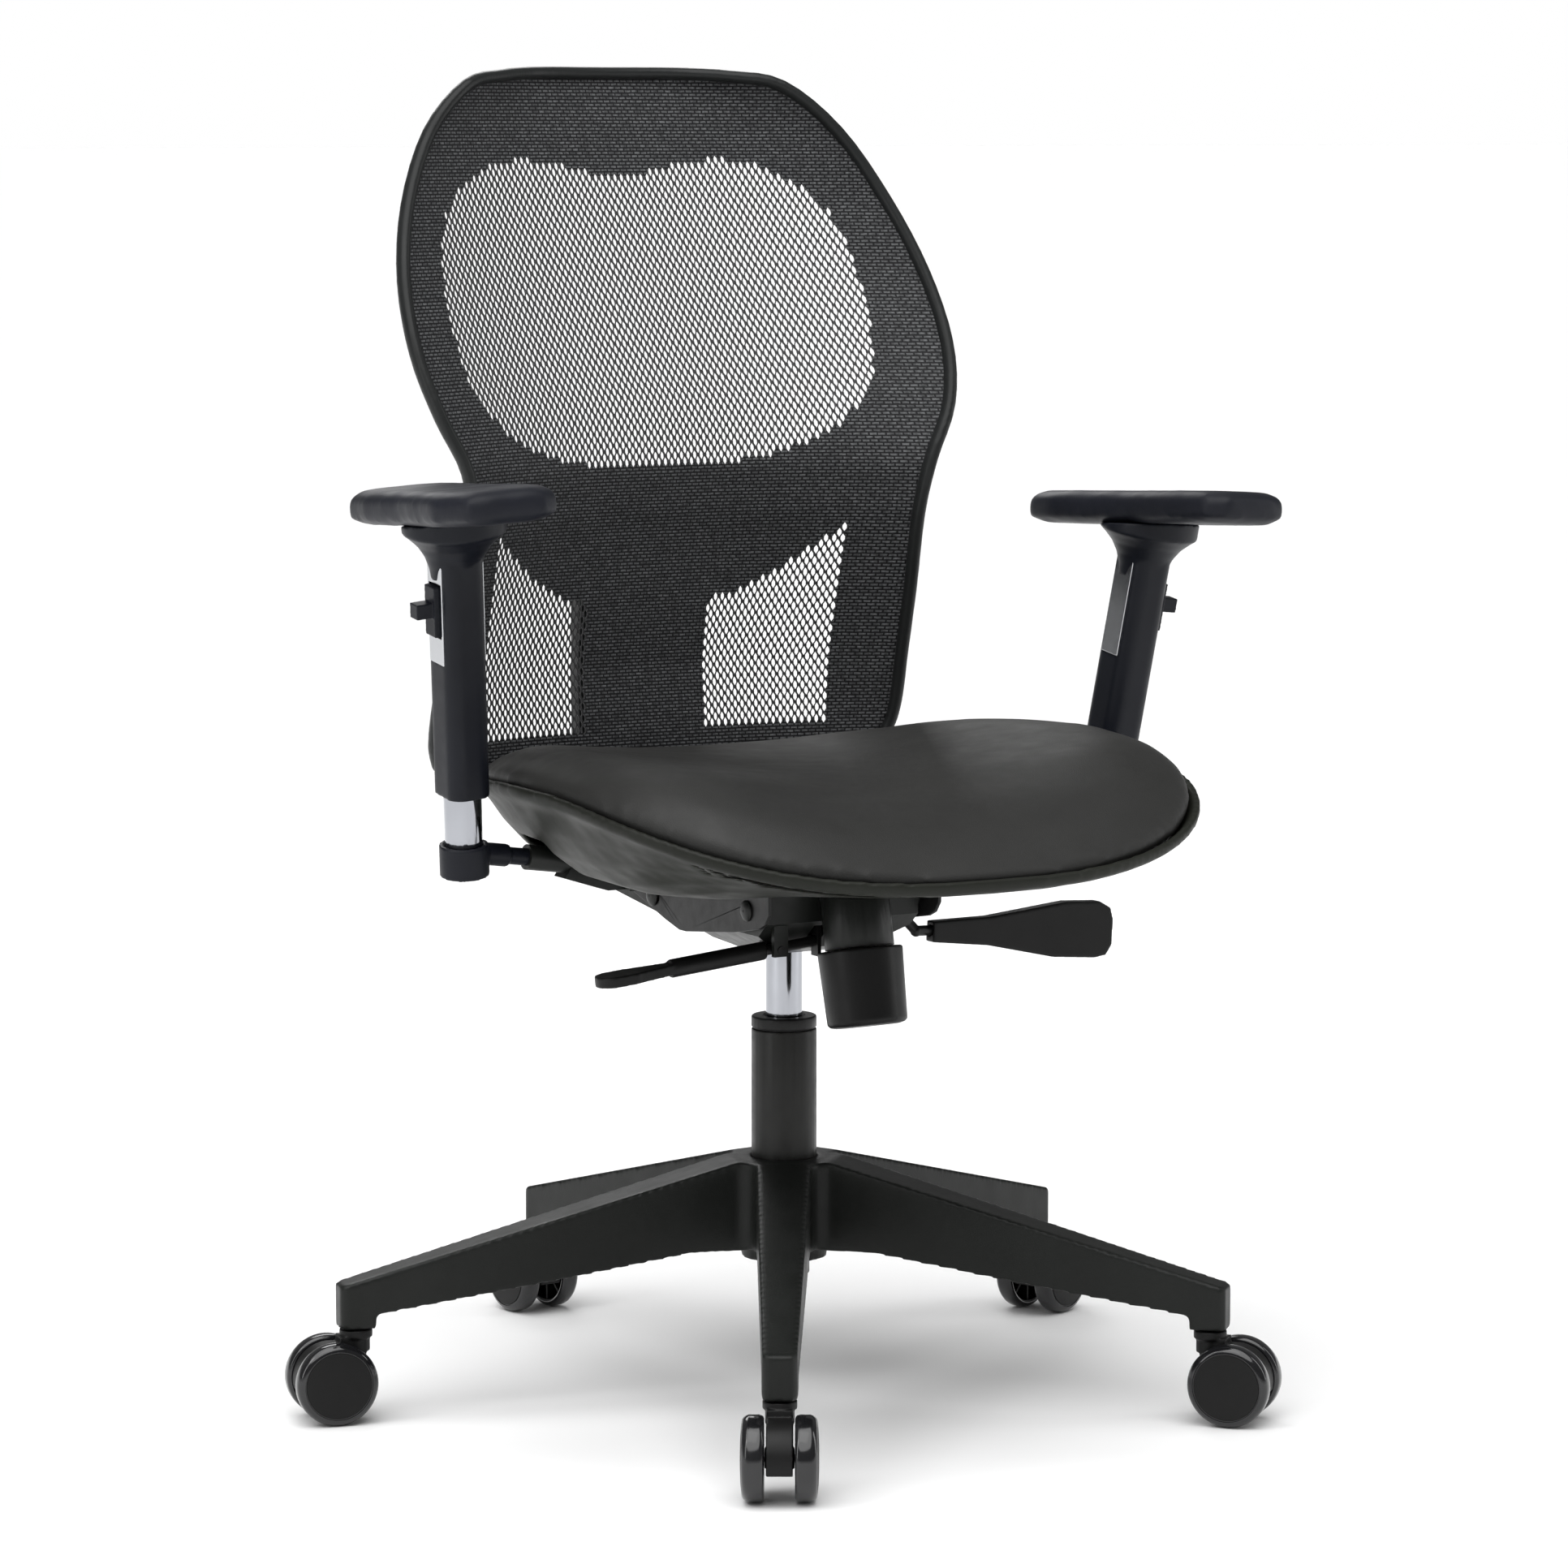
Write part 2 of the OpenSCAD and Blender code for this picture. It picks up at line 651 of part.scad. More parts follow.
// A smooth closed curve through the knots.
function spline(k, u) =
    let (n = len(k), i = floor(u), f = u - i,
         a = k[(i - 1 + n) % n], b = k[i % n], c = k[(i + 1) % n], d = k[(i + 2) % n])
    0.5 * (2 * b + (c - a) * f + (2 * a - 5 * b + 4 * c - d) * f * f
        + (3 * b - a - 3 * c + d) * f * f * f);

function unit(v) = v / norm(v);

rim_steps = 4 * len(rim_loop);
rim_sides = 10;

// One ring of the rim, around the curve, deeper than it is wide.
function rim_ring(s) =
    let (u = s / 4, p = spline(rim_loop, u),
         along = unit(spline(rim_loop, u + 0.02 >= len(rim_loop) ? u + 0.02 - len(rim_loop)
             : u + 0.02) - p),
         back = unit([0, 1, 0] - along * along[1]), side = cross(along, back))
    [for (j = [0:rim_sides - 1]) p + rim_r * cos(360 * j / rim_sides) * side
        + 1.35 * rim_r * sin(360 * j / rim_sides) * back];

module back_frame() {
    points = [for (s = [0:rim_steps - 1], p = rim_ring(s)) p];
    n = rim_sides;
    color(plastic) {
        polyhedron(points, [for (s = [0:rim_steps - 1], j = [0:n - 1], h = [0, 1])
            let (a = s * n + j, b = s * n + (j + 1) % n, m = rim_steps * n)
            h == 0 ? [a, b, (b + n) % m] : [a, (b + n) % m, (a + n) % m]]);
        for (x = [-1, 1]) translate([x * 30 - 14, 206, 458]) cube([28, 26, 9.5]);
    }
}

// Half width and fore-aft place of the rim's middle line at one height, by the right half's knots.
side_knots = [for (i = [3:14]) rim_knots[i]];
function side_at(z) =
    let (i = max([for (j = [0:len(side_knots) - 2]) side_knots[j][2] >= z ? j : 0]),
         a = side_knots[i], b = side_knots[i + 1], f = (a[2] - z) / (a[2] - b[2]))
    a + (b - a) * f;

// How far the mesh hangs behind the rim at one height.
function bow_at(z) = lookup(z, [[470, 31], [540, 58], [640, 72], [700, 68], [780, 68],
    [860, 60], [930, 48], [1000, 41]]);

mesh_cols = 24;
mesh_rows = 30;
mesh_low = 472;
mesh_high = 995;
mesh_sag = 6;                    // the lower edge dips to the rim at the middle

function mesh_point(r, c) =
    let (v = r / mesh_rows, z = mesh_low + (mesh_high - mesh_low) * v, e = side_at(z),
         q = -1 + 2 * c / mesh_cols, middle = 1 - pow(abs(q), 4))
    [q * (e[0] - 1), e[1] + bow_at(z) * (1 - pow(abs(q), 2.6)),
     z + (back_top - mesh_high) * middle * pow(v, 8) - mesh_sag * middle * pow(1 - v, 8)];

module back_mesh() {
    cols = mesh_cols + 1;
    front = [for (r = [0:mesh_rows], c = [0:mesh_cols]) mesh_point(r, c)];
    rear = [for (p = front) p + [0, mesh_t, 0]];
    m = len(front);
    edge = concat([for (c = [0:mesh_cols - 1]) c],
        [for (r = [0:mesh_rows - 1]) r * cols + mesh_cols],
        [for (c = [mesh_cols:-1:1]) mesh_rows * cols + c],
        [for (r = [mesh_rows:-1:1]) r * cols]);
    n = len(edge);
    color(fabric) polyhedron(concat(front, rear), concat(
        [for (r = [0:mesh_rows - 1], c = [0:mesh_cols - 1], h = [0, 1])
            let (a = r * cols + c) h == 0 ? [a, a + cols + 1, a + 1] : [a, a + cols, a + cols + 1]],
        [for (r = [0:mesh_rows - 1], c = [0:mesh_cols - 1], h = [0, 1])
            let (a = m + r * cols + c)
            h == 0 ? [a, a + 1, a + cols + 1] : [a, a + cols + 1, a + cols]],
        [for (i = [0:n - 1], h = [0, 1]) let (a = edge[i], b = edge[(i + 1) % n])
            h == 0 ? [a, b, b + m] : [a, b + m, a + m]]));
}

// The upright: a foot on the back carrier, a web behind the mesh, and a flat head.
module back_spine() {
    color(plastic) difference() {
        union() {
            along_x(-38, 38) polygon([[140, 394.1], [166, 394.1], [176, 388], [252, 388],
                [268, 398], [276, 420], [276, 690], [270, 694], [262, 640], [257, 600],
                [262, 560], [262, 426], [256, 408], [242, 402], [140, 402]]);
            for (x = [-1, 1]) translate([x * 30 - 14, 232.2, 457]) cube([28, 32, 15]);
        }
        for (x = [-1, 1]) translate([x * 22, 152, 360]) cylinder(r = 4, h = 60, $fn = mid);
    }
}

module back_screws() {
    color(metal) for (x = [-1, 1]) translate([x * 22, 152, 0]) {
        translate([0, 0, 374]) cylinder(r = 4, h = 28.5, $fn = mid);
        translate([0, 0, 374]) cylinder(r = 7, h = 4, $fn = mid);
        translate([0, 0, 402]) cylinder(r = 7, h = 3, $fn = mid);
    }
}

// ================= arms =================

// The left arm is the one at -X. Shapes are drawn for +X and mirrored.
module post_frame() {
    translate(post_foot) rotate([post_fwd, 0, 0]) rotate([0, post_out, 0]) children();
}

module rod_frame() {
    translate([240, rod_y, 430]) rotate([0, 90 - rod_lean, 0]) children();
}

module arm_bracket() {
    color(metal) {
        difference() {
            union() {
                rod_frame() translate([0, 0, -58]) cylinder(r = 9.5, h = 44, $fn = mid);
                translate([84, rod_y - 17, shell_low - 5]) cube([64, 34, 5]);
                translate([0, rod_y + 9, 0]) rotate([90, 0, 0]) linear_extrude(18)
                    polygon([[140, 399.5], [162, 399.5], [198, 411], [190, 423], [178, 417],
                        [152, 403.5], [140, 403.5]]);
            }
            rod_frame() translate([0, 0, -54]) cylinder(r = rod_arm_r + fit, h = 60, $fn = mid);
        }
    }
}

module arm_clamp() {
    color(plastic) {
        difference() {
            union() {
                post_frame() translate([0, 0, -12]) cylinder(r = 18.3, h = 24, $fn = fine);
                rod_frame() translate([0, 0, 2]) cylinder(r = 8.5, h = 26, $fn = mid);
            }
            post_frame() translate([0, 0, -11]) cylinder(r = arm_tube_r, h = 40, $fn = fine);
            rod_frame() translate([0, 0, -20]) cylinder(r = rod_arm_r, h = 40, $fn = mid);
        }
        rod_frame() translate([0, 0, -48]) cylinder(r = rod_arm_r, h = 67, $fn = mid);
    }
}

module arm_tube() {
    color(chrome) post_frame() translate([0, 0, -11]) difference() {
        cylinder(r = arm_tube_r, h = arm_tube_end + 11, $fn = fine);
        translate([0, 0, 3]) cylinder(r = arm_tube_r - 2, h = arm_tube_end + 20, $fn = fine);
        translate([9.5, -9, 147]) cube([6, 18, 60]);
    }
}

module arm_sleeve() {
    color(plastic) difference() {
        post_frame() difference() {
            union() {
                translate([0, 0, sleeve_start]) linear_extrude(post_len - 3 - sleeve_start)
                    rounded_rect(sleeve_x, sleeve_y, 11);
                translate([0, 0, post_len - 40]) rotate_extrude($fn = fine)
                    polygon([[0, 0], [18, 0], [19, 8], [22, 17], [27, 25], [33, 31], [38, 35],
                        [38, 50], [0, 50]]);
            }
            translate([0, 0, sleeve_start - 1])
                cylinder(r = arm_tube_r + fit, h = arm_tube_end + 27 - sleeve_start, $fn = fine);
            for (s = [-1, 1]) translate([s * (sleeve_x / 2 - 0.2) - 1, -11, slot_mid - 40])
                cube([2, 22, strip_l]);
            translate([sleeve_x / 2 - 7.5, -8.4, slot_mid - 19]) cube([20, 16.8, 38]);
        }
        pad_frame() translate([-110, -160, 1.6]) cube([220, 320, 80]);
    }
}

module arm_strip() {
    color(chrome) post_frame() {
        translate([-sleeve_x / 2 - 0.8, -11, slot_mid - 40]) cube([1.9, 22, strip_l]);
        difference() {
            translate([sleeve_x / 2 - 1.1, -11, slot_mid - 40]) cube([1.9, 22, strip_l]);
            translate([sleeve_x / 2 - 5, -9, slot_mid - 20]) cube([9, 18, 40]);
        }
    }
}

module arm_button() {
    color(plastic) post_frame() {
        translate([sleeve_x / 2 - 3.5, -8, slot_mid - 18.6]) cube([8.5, 16, 37.2]);
        translate([sleeve_x / 2 + 4, -6, slot_mid - 4]) cube([14, 12, 11]);
    }
}

module pad_outline(inset) {
    w = pad_w / 2 - inset;
    l = pad_l / 2 - inset;
    polygon([[-w + 14, l], [w - 20, l], [w - 4, l - 16], [w, l - 60], [w - 3, 0], [w, -l + 40],
        [w - 14, -l + 4], [w - 26, -l], [-w + 16, -l], [-w + 3, -l + 12], [-w, -l + 50],
        [-w + 4, 0], [-w, l - 40], [-w + 4, l - 12]]);
}

module pad_frame() {
    translate([306, -51, post_head[2]]) rotate([-pad_pitch, pad_roll, pad_toe])
        children();
}

module arm_pad() {
    color(plastic) pad_frame() {
        translate([0, 0, 5]) linear_extrude(pad_t - 11) pad_outline(0);
        translate([0, 0, pad_t - 6]) linear_extrude(3.5) pad_outline(3);
        translate([0, 0, pad_t - 2.5]) linear_extrude(2.5) pad_outline(8);
        translate([0, 0, 1.6]) linear_extrude(3.4) pad_outline(7);
    }
}

module left() { mirror([1, 0, 0]) children(); }

// An arm rest slides along its post.
module raised(d) { translate(d * unit(post_vec)) children(); }

// ================= what is drawn =================

base_star();
column_tube();
column_bushing();
piston_rod();
gas_cylinder();
valve_button();
for (i = [1:5]) at_caster(i) {
    caster_hood();
    caster_pins();
    wheel();
    wheel_right();
}
mech_housing();
mech_pins();
seat_plate();
back_carrier();
back_pin();
tension_bolt();
tension_knob();
height_lever_rod();
height_lever_handle();
tilt_lever_rod();
tilt_lever_handle();
seat_cushion();
seat_board();
seat_shell();
seat_screws();
back_frame();
back_mesh();
back_spine();
back_screws();
left() arm_bracket();  // left_arm_bracket
left() arm_clamp();  // left_arm_clamp
left() arm_tube();  // left_arm_tube
left() raised(left_lift) arm_sleeve();  // left_arm_sleeve
left() raised(left_lift) arm_strip();  // left_arm_strip
left() raised(left_lift) arm_button();  // left_arm_button
left() raised(left_lift) arm_pad();  // left_arm_pad
arm_bracket();  // right_arm_bracket
arm_clamp();  // right_arm_clamp
arm_tube();  // right_arm_tube
raised(right_lift) arm_sleeve();  // right_arm_sleeve
raised(right_lift) arm_strip();  // right_arm_strip
raised(right_lift) arm_button();  // right_arm_button
raised(right_lift) arm_pad();  // right_arm_pad
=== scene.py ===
"""Looks of the swivel office chair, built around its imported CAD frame.

Metres, +Z up, the sitter faces -Y.
"""

import json
import math

import bpy
import numpy as np
from mathutils import Matrix, Vector
from mathutils.bvhtree import BVHTree


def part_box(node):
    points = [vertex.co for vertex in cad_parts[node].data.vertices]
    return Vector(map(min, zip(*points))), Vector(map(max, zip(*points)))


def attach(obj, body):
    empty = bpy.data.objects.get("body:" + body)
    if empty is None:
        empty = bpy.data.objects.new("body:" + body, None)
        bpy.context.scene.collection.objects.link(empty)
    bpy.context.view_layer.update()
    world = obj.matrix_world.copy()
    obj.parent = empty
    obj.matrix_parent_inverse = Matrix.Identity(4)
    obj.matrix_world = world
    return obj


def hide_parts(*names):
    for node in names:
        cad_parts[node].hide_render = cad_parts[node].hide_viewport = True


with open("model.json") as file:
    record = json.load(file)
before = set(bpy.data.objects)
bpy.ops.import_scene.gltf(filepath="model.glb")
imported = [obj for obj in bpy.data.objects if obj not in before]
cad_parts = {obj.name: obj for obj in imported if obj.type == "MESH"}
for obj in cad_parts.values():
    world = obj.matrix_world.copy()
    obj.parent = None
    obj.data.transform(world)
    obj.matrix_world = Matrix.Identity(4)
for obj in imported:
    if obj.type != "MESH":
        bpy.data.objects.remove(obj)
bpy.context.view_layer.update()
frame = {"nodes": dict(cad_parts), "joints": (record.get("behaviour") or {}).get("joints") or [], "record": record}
NODES = frame["nodes"]
JOINTS = {j["name"]: j for j in frame["joints"]}
SIDES = ("left", "right")
CASTERS = range(1, 6)

# ------------------------------------------------------------------ camera and light

CAMERA_TURN = math.radians(-30)  # the chair faces to the picture's right
CAMERA_AWAY = 4.186
CAMERA_HEIGHT = 0.967
CAMERA_DOWN = math.radians(6.8)
LENS = 127.3
FAR = 400  # how far the floor reaches and the camera sees
ROOM_LIGHT = 0.16  # the room above the white band, beside the band's 1
BAND_LOW, BAND_HIGH = 0.035, 0.11  # the sine of the height at which the band fades out
SUN_STRENGTH, SUN_WIDTH = 3.3, math.radians(75)
SUN_TURN = (math.radians(14), math.radians(-16), 0)


def make_camera():
    data = bpy.data.cameras.new("camera")
    data.lens, data.sensor_width = LENS, 36
    data.clip_end = FAR
    cam = bpy.data.objects.new("camera", data)
    bpy.context.collection.objects.link(cam)
    cam.location = (
        CAMERA_AWAY * math.sin(CAMERA_TURN),
        -CAMERA_AWAY * math.cos(CAMERA_TURN),
        CAMERA_HEIGHT,
    )
    cam.rotation_euler = (math.pi / 2 - CAMERA_DOWN, 0, CAMERA_TURN)
    bpy.context.scene.camera = cam


def area_light(name, place, target, size, watts):
    data = bpy.data.lights.new(name, "AREA")
    data.shape, data.size, data.size_y = "RECTANGLE", size[0], size[1]
    data.energy = watts
    lamp = bpy.data.objects.new(name, data)
    bpy.context.collection.objects.link(lamp)
    lamp.location = place
    lamp.rotation_euler = (Vector(target) - Vector(place)).to_track_quat("-Z", "Y").to_euler()


def make_studio():
    """White paper under a wide soft sun, a white band at the horizon, a dim room, and softboxes."""
    world = bpy.data.worlds.new("studio")
    bpy.context.scene.world = world
    world.use_nodes = True
    tree = world.node_tree
    height = tree.nodes.new("ShaderNodeSeparateXYZ")
    ramp = tree.nodes.new("ShaderNodeMapRange")
    ramp.interpolation_type = "SMOOTHSTEP"
    for key, value in (
        ("From Min", BAND_LOW), ("From Max", BAND_HIGH), ("To Min", 1.0), ("To Max", ROOM_LIGHT)
    ):
        ramp.inputs[key].default_value = value
    tree.links.new(tree.nodes.new("ShaderNodeTexCoord").outputs["Generated"], height.inputs[0])
    tree.links.new(height.outputs["Z"], ramp.inputs["Value"])
    tree.links.new(ramp.outputs[0], tree.nodes["Background"].inputs["Strength"])
    tree.nodes["Background"].inputs["Color"].default_value = (1, 1, 1, 1)
    middle = (0, 0, 0.55)
    area_light("top", (-0.9, -0.9, 3.0), middle, (1.8, 1.8), 9)
    area_light("left_side", (-2.8, -0.2, 1.5), middle, (0.6, 2.4), 16)
    area_light("right_side", (2.4, -1.2, 1.4), middle, (0.6, 2.4), 14)
    area_light("behind", (0.8, 2.8, 2.2), middle, (1.6, 1.2), 22)
    data = bpy.data.lights.new("sky_panel", "SUN")
    data.energy, data.angle = SUN_STRENGTH, SUN_WIDTH
    sun = bpy.data.objects.new("sky_panel", data)
    bpy.context.collection.objects.link(sun)
    sun.rotation_euler = SUN_TURN
    bpy.context.scene.view_settings.view_transform = "Standard"
    bpy.ops.mesh.primitive_plane_add(size=FAR, location=(0, 0, -0.0004))
    floor = bpy.context.object
    floor.name = "studio_floor"
    floor.data.materials.append(plain("floor_paper", (0.94, 0.94, 0.94), 0.8))


# ------------------------------------------------------------------ materials


class Tree:
    """A short way to write node trees: one Principled surface in object space."""

    def __init__(self, name, color, rough, metallic=0.0):
        self.material = bpy.data.materials.new(name)
        self.material.use_nodes = True
        self.tree = self.material.node_tree
        self.shader = self.tree.nodes["Principled BSDF"]
        self.shader.inputs["Base Color"].default_value = (*color, 1)
        self.shader.inputs["Roughness"].default_value = rough
        self.shader.inputs["Metallic"].default_value = metallic
        self.color = color
        self.place = self.node("TexCoord").outputs["Object"]
        self.last_bump = None

    def node(self, kind, inputs=None, **settings):
        made = self.tree.nodes.new("ShaderNode" + kind)
        for key, value in settings.items():
            setattr(made, key, value)
        for key, value in (inputs or {}).items():
            if isinstance(value, bpy.types.NodeSocket):
                self.tree.links.new(value, made.inputs[key])
            else:
                made.inputs[key].default_value = value
        return made

    def noise(self, scale, detail=3, rough=0.55, vector=None):
        place = vector or self.place
        inputs = {"Vector": place, "Scale": scale, "Detail": detail, "Roughness": rough}
        return self.node("TexNoise", inputs).outputs["Fac"]

    def cells(self, scale):
        inputs = {"Vector": self.place, "Scale": scale}
        made = self.node("TexVoronoi", inputs, feature="DISTANCE_TO_EDGE")
        return made.outputs["Distance"]

    def span(self, value, low, high, start=0.0, stop=1.0):
        ends = {"From Min": low, "From Max": high, "To Min": start, "To Max": stop}
        return self.node("MapRange", {"Value": value, **ends}).outputs["Result"]

    def math(self, kind, a, b):
        return self.node("Math", {0: a, 1: b}, operation=kind).outputs[0]

    def mix(self, factor, a, b):
        made = self.node("Mix", {"Factor": factor}, data_type="RGBA")
        for key, value in ((6, a), (7, b)):
            if isinstance(value, bpy.types.NodeSocket):
                self.tree.links.new(value, made.inputs[key])
            else:
                made.inputs[key].default_value = (*value, 1)
        return made.outputs[2]

    def link(self, socket, name):
        self.tree.links.new(socket, self.shader.inputs[name])

    def bump(self, height, strength, distance):
        inputs = {"Height": height, "Strength": strength, "Distance": distance}
        if self.last_bump:
            inputs["Normal"] = self.last_bump
        self.last_bump = self.node("Bump", inputs).outputs["Normal"]
        self.link(self.last_bump, "Normal")

    def set(self, **values):
        for key, value in values.items():
            self.shader.inputs[key.replace("_", " ")].default_value = value


def shade(color, factor):
    return tuple(c * factor for c in color)


def plain(name, color, rough):
    return Tree(name, color, rough).material


def moulded(name, color, rough, grain=900, depth=0.10, wear=0.35, gloss=0.2):
    """Moulded plastic: fine grain, faint flow marks, and lighter rubbed edges."""
    t = Tree(name, color, rough)
    flow = t.noise(9, 4)
    body = t.mix(t.span(flow, 0.35, 0.65), shade(color, 0.86), shade(color, 1.14))
    edge = t.span(t.node("NewGeometry").outputs["Pointiness"], 0.53, 0.62)
    rubbed = t.math("MULTIPLY", edge, t.span(t.noise(60, 5), 0.4, 0.7, 0.0, wear))
    t.link(t.mix(rubbed, body, shade(color, 2.4)), "Base Color")
    t.link(t.span(t.noise(35, 5), 0.3, 0.7, rough - 0.06, rough + 0.07), "Roughness")
    t.bump(t.noise(grain, 2, 0.6), depth, 0.0004)
    t.set(Specular_IOR_Level=gloss)
    return t.material


def painted(name, color, rough):
    """Powder coat on pressed steel, with a light orange peel."""
    t = Tree(name, color, rough)
    cloud = t.span(t.noise(14, 3), 0.35, 0.65)
    t.link(t.mix(cloud, shade(color, 0.9), shade(color, 1.12)), "Base Color")
    t.link(t.span(t.noise(90, 4), 0.3, 0.7, rough - 0.05, rough + 0.08), "Roughness")
    t.bump(t.noise(260, 2, 0.5), 0.16, 0.0004)
    t.set(Coat_Weight=0.05, Coat_Roughness=0.3, Specular_IOR_Level=0.24)
    return t.material


def bare_metal(name, color, rough):
    """Plated or polished metal with fine lines drawn upwards."""
    t = Tree(name, color, rough, 1.0)
    lines = t.node("Mapping", {"Vector": t.place, "Scale": (1, 1, 0.03)}).outputs["Vector"]
    marks = t.noise(700, 4, 0.6, lines)
    t.link(t.span(marks, 0.3, 0.7, max(rough - 0.04, 0.02), rough + 0.07), "Roughness")
    t.link(t.mix(t.span(t.noise(25, 3), 0.35, 0.65), shade(color, 0.92), color), "Base Color")
    t.bump(marks, 0.05, 0.0002)
    return t.material


def upholstery(name):
    """Smooth dull vinyl leather: pebbled grain and soft broad creases."""
    color = (0.015, 0.015, 0.014)
    t = Tree(name, color, 0.55)
    cloud = t.span(t.noise(7, 4), 0.3, 0.7)
    t.link(t.mix(cloud, shade(color, 0.85), shade(color, 1.2)), "Base Color")
    pebbles = t.cells(620)
    t.link(t.span(t.noise(40, 4), 0.3, 0.7, 0.50, 0.60), "Roughness")
    t.bump(t.noise(11, 3), 0.03, 0.004)
    t.bump(t.span(pebbles, 0.0, 0.35), 0.22, 0.00025)
    t.set(Specular_IOR_Level=0.33)
    return t.material


def plywood(name):
    """Pale veneer with long grain across the seat."""
    color = (0.45, 0.33, 0.20)
    t = Tree(name, color, 0.6)
    grain = t.node("Mapping", {"Vector": t.place, "Scale": (1, 14, 14)}).outputs["Vector"]
    t.link(t.mix(t.noise(9, 6, 0.6, grain), shade(color, 0.6), color), "Base Color")
    t.bump(t.noise(60, 4, 0.6, grain), 0.2, 0.0005)
    return t.material


def yarn(name):
    """The open part of the mesh: dull round strands with a fine twist."""
    color = (0.013, 0.013, 0.014)
    t = Tree(name, color, 0.62)
    twist = t.span(t.noise(420, 2), 0.35, 0.65)
    t.link(t.mix(twist, shade(color, 0.6), shade(color, 2.2)), "Base Color")
    t.bump(t.noise(1500, 2), 0.5, 0.0004)
    t.set(Sheen_Weight=0.1)
    return t.material


def dense_weave(name):
    """The closed part of the mesh: dark cloth with rows of short floats, their highlights painted lighter into the
    colour.
    """
    # The lighter grey is a painted highlight on the floats, not the yarn's own colour.
    dark, float_highlight = (0.004, 0.004, 0.005), (0.13, 0.134, 0.138)
    t = Tree(name, dark, 0.6)
    parts = t.node("SeparateXYZ", {"Vector": t.place}).outputs
    flat = t.node("CombineXYZ", {"X": parts["X"], "Y": parts["Z"]}).outputs["Vector"]
    jumble = t.node("TexNoise", {"Vector": flat, "Scale": 300.0}).outputs["Color"]
    size = (0.0011, 0.0007, 0)
    wobble = t.node("VectorMath", {0: jumble, 1: size}, operation="MULTIPLY").outputs["Vector"]
    at = t.node("VectorMath", {0: flat, 1: wobble}, operation="ADD").outputs["Vector"]
    gaps = {"Mortar Size": 0.00085, "Mortar Smooth": 0.6}
    rows = {"Brick Width": 0.0058, "Row Height": 0.0027}
    bricks = t.node("TexBrick", {"Vector": at, "Scale": 1.0, **gaps, **rows}, offset=0.5)
    float_part = t.math("SUBTRACT", 1.0, bricks.outputs["Fac"])
    patch = t.span(t.noise(260, 3, 0.65), 0.38, 0.66, 0.3, 1.0)
    # Painted highlight: the floats are drawn lighter, in patches, where light would catch them.
    painted_highlight = t.math("MULTIPLY", float_part, patch)
    t.link(t.mix(painted_highlight, dark, float_highlight), "Base Color")
    t.bump(float_part, 0.7, 0.0006)
    t.set(Specular_IOR_Level=0.25)
    return t.material


# One finish for each material slot of the frame.
MATERIALS = {
    "base_plastic": moulded("base_plastic", (0.010, 0.011, 0.010), 0.40, depth=0.3),
    "column_paint": painted("column_paint", (0.013, 0.013, 0.012), 0.36),
    "ring_plastic": moulded("ring_plastic", (0.012, 0.012, 0.012), 0.4),
    "rod_steel": bare_metal("rod_steel", (0.20, 0.205, 0.21), 0.34),
    "gas_chrome": bare_metal("gas_chrome", (0.40, 0.41, 0.44), 0.10),
    "strip_bright": bare_metal("strip_bright", (0.56, 0.57, 0.59), 0.17),
    "housing_paint": painted("housing_paint", (0.009, 0.010, 0.009), 0.38),
    "seat_plate_paint": painted("seat_plate_paint", (0.012, 0.012, 0.012), 0.40),
    "lever_plastic": moulded("lever_plastic", (0.006, 0.006, 0.006), 0.40),
    "lever_rod": painted("lever_rod", (0.008, 0.008, 0.008), 0.34),
    "upholstery": upholstery("upholstery"),
    "board_wood": plywood("board_wood"),
    "shell_plastic": moulded("shell_plastic", (0.011, 0.012, 0.009), 0.48, depth=0.16),
    "frame_plastic": moulded("frame_plastic", (0.014, 0.015, 0.015), 0.38),
    "woven_mesh": yarn("woven_mesh"),
    "arm_plastic": moulded("arm_plastic", (0.006, 0.007, 0.011), 0.42),
    "pad_soft": moulded("pad_soft", (0.009, 0.010, 0.015), 0.48, grain=500, depth=0.18),
    "caster_plastic": moulded("caster_plastic", (0.006, 0.006, 0.006), 0.42),
    "caster_steel": bare_metal("caster_steel", (0.5, 0.5, 0.52), 0.3),
    "wheel_plastic": moulded("wheel_plastic", (0.007, 0.007, 0.007), 0.46),
}
WHEEL_GLOSS = moulded(
    "wheel_gloss", (0.008, 0.008, 0.009), 0.12, depth=0.03, wear=0.2, gloss=0.6
)
DENSE_WEAVE = dense_weave("dense_weave")

SLOT_OF = {s["node"]: s["material_slot"] for s in frame["record"]["subparts"]}
BODY_OF = {n: b for b, ns in frame["record"]["behaviour"]["bodies"].items() for n in ns}


# ------------------------------------------------------------------ mesh helpers

WELD_REACH = 0.00001  # joins the corners that STEP faces share


def new_object(name, mesh, body, slot, *materials):
    obj = bpy.data.objects.new(name, mesh)
    bpy.context.collection.objects.link(obj)
    mesh.materials.clear()
    for m in materials or (MATERIALS[slot],):
        mesh.materials.append(m)
    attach(obj, body)
    return obj


def mesh_from(name, points, faces):
    mesh = bpy.data.meshes.new(name)
    mesh.from_pydata([tuple(p) for p in points], [], faces)
    mesh.update()
    return mesh


def smooth(mesh):
    mesh.polygons.foreach_set("use_smooth", [True] * len(mesh.polygons))
    mesh.update()


def bake(obj):
    """Applies every modifier on the object."""
    shown = obj.evaluated_get(bpy.context.evaluated_depsgraph_get())
    mesh = bpy.data.meshes.new_from_object(shown)
    obj.modifiers.clear()
    obj.data = mesh


def add_modifier(obj, kind, **settings):
    made = obj.modifiers.new(kind.lower(), kind)
    for key, value in settings.items():
        setattr(made, key, value)
    return made


